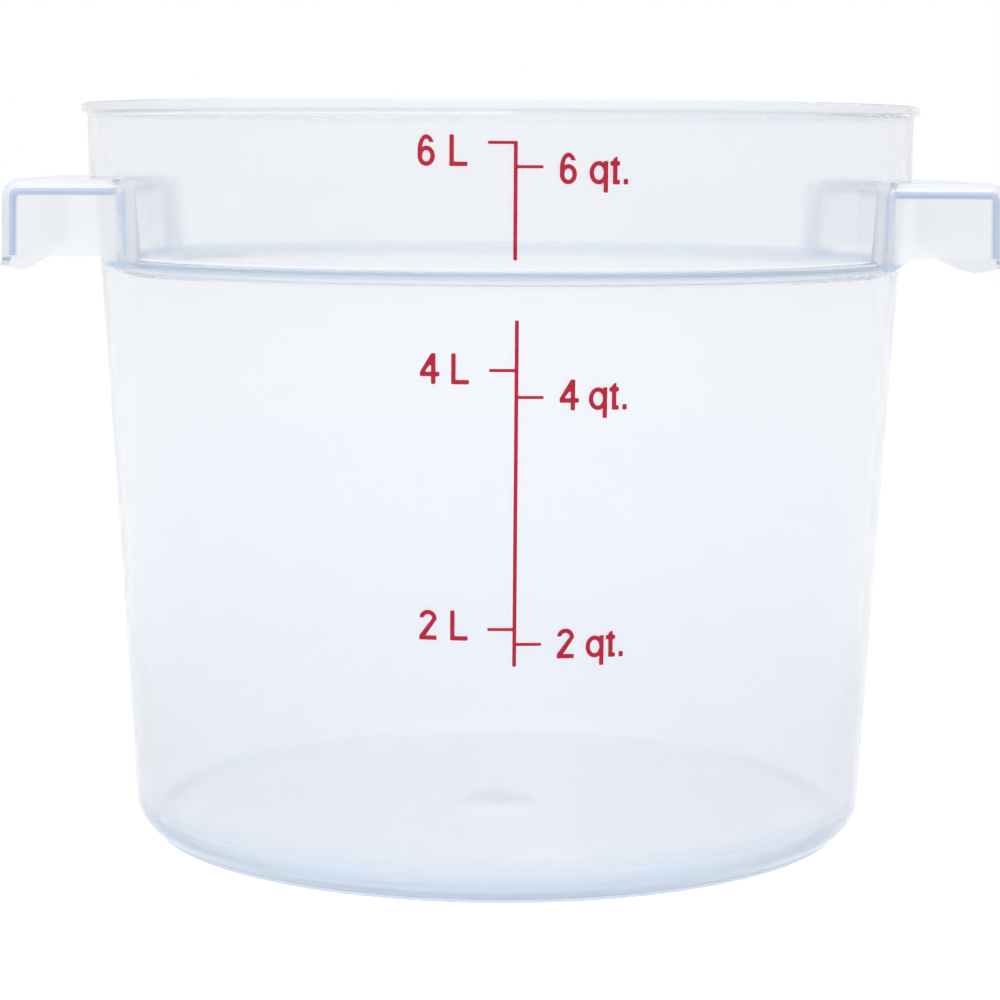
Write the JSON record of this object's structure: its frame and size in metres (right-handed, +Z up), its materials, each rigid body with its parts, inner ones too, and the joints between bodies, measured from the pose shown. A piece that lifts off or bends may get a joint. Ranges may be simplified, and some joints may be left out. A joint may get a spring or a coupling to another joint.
{
  "type": "dough proofing container",
  "caption": "Round tapered tub with a stepped collar, two hollow side handles and a printed volume scale, in translucent plastic.",
  "frame": {"origin": "centre of the foot, on the surface the tub stands on", "axes": "+Z up, X through the two handles, the printed scale faces -Y"},
  "size_m": [0.2592, 0.2244, 0.195],
  "materials": {
    "tub_plastic": "satin",
    "scale_ink": "matte"
  },
  "bodies": {
    "root": {"tub": "tub_plastic", "scale_line_upper": "scale_ink", "scale_line_lower": "scale_ink", "litre_label_6": "scale_ink", "litre_label_4": "scale_ink", "litre_label_2": "scale_ink", "quart_label_6": "scale_ink", "quart_label_4": "scale_ink", "quart_label_2": "scale_ink"}
  },
  "joints": []
}
